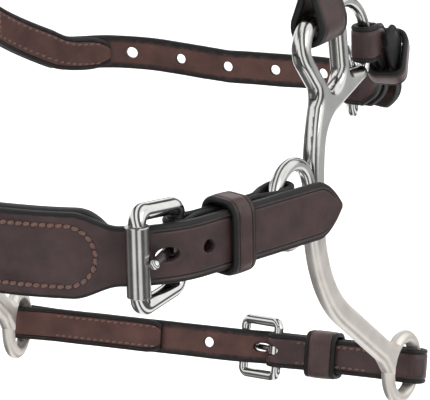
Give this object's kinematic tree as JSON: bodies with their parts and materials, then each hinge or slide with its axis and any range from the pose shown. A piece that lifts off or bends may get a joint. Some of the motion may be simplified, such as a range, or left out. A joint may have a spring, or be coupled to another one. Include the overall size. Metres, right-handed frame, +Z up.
{
  "type": "bitless hackamore",
  "caption": "Bitless horse hackamore: curved steel levers joined by a padded leather noseband, a curb strap and a lower strap, with buckled cheekpieces.",
  "frame": {"origin": "midway between the centres of the two noseband rings", "axes": "+X to the horse's left, +Y rearwards to the chin, +Z up"},
  "size_m": [0.169, 0.1925, 0.2248],
  "materials": {
    "leather_strap": "smooth bridle leather",
    "leather_keeper": "smooth bridle leather",
    "leather_lining": "soft matt leather",
    "foam": "felt padding, sealed in",
    "steel_cast": "satin faces, polished edges",
    "steel_polished": "polished",
    "steel_roller": "polished"
  },
  "bodies": {
    "noseband": {"noseband_front": "leather_strap", "noseband_padding": "foam", "noseband_lining": "leather_lining", "left_noseband_chape": "leather_strap", "left_noseband_buckle_frame": "steel_polished", "right_noseband_chape": "leather_strap", "right_noseband_buckle_frame": "steel_polished"},
    "curb": {"curb_billet": "leather_strap", "curb_chape": "leather_strap", "curb_buckle_frame": "steel_polished"},
    "curb_tongue": {"curb_tongue": "steel_polished"},
    "curb_keeper": {"curb_keeper": "leather_keeper"},
    "lower": {"lower_billet": "leather_strap", "lower_chape": "leather_strap", "lower_buckle_frame": "steel_polished"},
    "lower_tongue": {"lower_tongue": "steel_polished"},
    "lower_keeper": {"lower_keeper": "leather_keeper"},
    "left_lever": {"left_shank": "steel_cast"},
    "left_cheek": {"left_cheekpiece": "leather_strap", "left_cheek_buckle_frame": "steel_polished"},
    "left_cheek_tongue": {"left_cheek_tongue": "steel_polished"},
    "left_cheek_keeper": {"left_cheek_keeper": "leather_keeper"},
    "left_roller": {"left_noseband_roller": "steel_roller"},
    "left_noseband_tongue": {"left_noseband_tongue": "steel_polished"},
    "left_noseband_keeper": {"left_noseband_keeper": "leather_keeper"},
    "right_lever": {"right_shank": "steel_cast"},
    "right_cheek": {"right_cheekpiece": "leather_strap", "right_cheek_buckle_frame": "steel_polished"},
    "right_cheek_tongue": {"right_cheek_tongue": "steel_polished"},
    "right_cheek_keeper": {"right_cheek_keeper": "leather_keeper"},
    "right_roller": {"right_noseband_roller": "steel_roller"},
    "right_noseband_tongue": {"right_noseband_tongue": "steel_polished"},
    "right_noseband_keeper": {"right_noseband_keeper": "leather_keeper"}
  },
  "joints": [
    {"name": "left_lever_hinge", "type": "hinge", "parent": "noseband", "child": "left_lever", "pos_m": [0, 0, 0], "axis": [1, 0, 0], "range_deg": [-20, 20]},
    {"name": "left_roller_spin", "type": "hinge", "parent": "noseband", "child": "left_roller", "pos_m": [0.04174, -0.07177, 0], "axis": [0, 0, 1], "continuous": true},
    {"name": "left_noseband_tongue_hinge", "type": "hinge", "parent": "noseband", "child": "left_noseband_tongue", "pos_m": [0.04675, -0.05226, 0], "axis": [0, 0, 1], "range_deg": [0, 3]},
    {"name": "left_noseband_keeper_slide", "type": "slide", "parent": "noseband", "child": "left_noseband_keeper", "axis": [-0.4226, -0.9063, 0], "range_m": [-0.0015, 0.003]},
    {"name": "left_cheek_hinge", "type": "hinge", "parent": "left_lever", "child": "left_cheek", "pos_m": [0.06902, 0.02149, 0.0573], "axis": [0.1392, 0.9903, 0], "range_deg": [-12, 12]},
    {"name": "left_cheek_tongue_hinge", "type": "hinge", "parent": "left_cheek", "child": "left_cheek_tongue", "pos_m": [0.06902, 0.02149, 0.1053], "axis": [0.1392, 0.9903, 0], "range_deg": [0, 75]},
    {"name": "left_cheek_keeper_slide", "type": "slide", "parent": "left_cheek", "child": "left_cheek_keeper", "axis": [0, 0, 1], "range_m": [-0.015, 0]},
    {"name": "right_lever_hinge", "type": "hinge", "parent": "noseband", "child": "right_lever", "pos_m": [0, 0, 0], "axis": [1, 0, 0], "range_deg": [-20, 20]},
    {"name": "right_roller_spin", "type": "hinge", "parent": "noseband", "child": "right_roller", "pos_m": [-0.04174, -0.07177, 0], "axis": [0, 0, 1], "continuous": true},
    {"name": "right_noseband_tongue_hinge", "type": "hinge", "parent": "noseband", "child": "right_noseband_tongue", "pos_m": [-0.04675, -0.05226, 0], "axis": [0, 0, -1], "range_deg": [0, 3]},
    {"name": "right_noseband_keeper_slide", "type": "slide", "parent": "noseband", "child": "right_noseband_keeper", "axis": [0.4226, -0.9063, 0], "range_m": [-0.0015, 0.003]},
    {"name": "right_cheek_hinge", "type": "hinge", "parent": "right_lever", "child": "right_cheek", "pos_m": [-0.06902, 0.02149, 0.0573], "axis": [-0.1392, 0.9903, 0], "range_deg": [-12, 12]},
    {"name": "right_cheek_tongue_hinge", "type": "hinge", "parent": "right_cheek", "child": "right_cheek_tongue", "pos_m": [-0.06902, 0.02149, 0.1053], "axis": [0.1392, -0.9903, 0], "range_deg": [0, 75]},
    {"name": "right_cheek_keeper_slide", "type": "slide", "parent": "right_cheek", "child": "right_cheek_keeper", "axis": [0, 0, 1], "range_m": [-0.015, 0]},
    {"name": "curb_hinge", "type": "hinge", "parent": "left_lever", "child": "curb", "pos_m": [0, 0.03763, 0.042], "axis": [1, 0, 0], "range_deg": [0, 10]},
    {"name": "curb_tongue_hinge", "type": "hinge", "parent": "curb", "child": "curb_tongue", "pos_m": [0.0547, 0.10016, 0.0155], "axis": [0, 0, -1], "range_deg": [0, 3]},
    {"name": "curb_keeper_slide", "type": "slide", "parent": "curb", "child": "curb_keeper", "axis": [-0.1238, 0.7814, -0.6117], "range_m": [0, 0.001]},
    {"name": "lower_hinge", "type": "hinge", "parent": "left_lever", "child": "lower", "pos_m": [0, 0.08477, -0.0853], "axis": [1, 0, 0], "range_deg": [-15, 15]},
    {"name": "lower_tongue_hinge", "type": "hinge", "parent": "lower", "child": "lower_tongue", "pos_m": [0.026, 0.09433, -0.08786], "axis": [0, -0.2588, -0.9659], "range_deg": [0, 3]},
    {"name": "lower_keeper_slide", "type": "slide", "parent": "lower", "child": "lower_keeper", "axis": [1, 0, 0], "range_m": [-0.0025, 0.008]}
  ],
  "couplings": [
    {"joint": "right_lever_hinge", "follows": "left_lever_hinge", "ratio": 1}
  ]
}
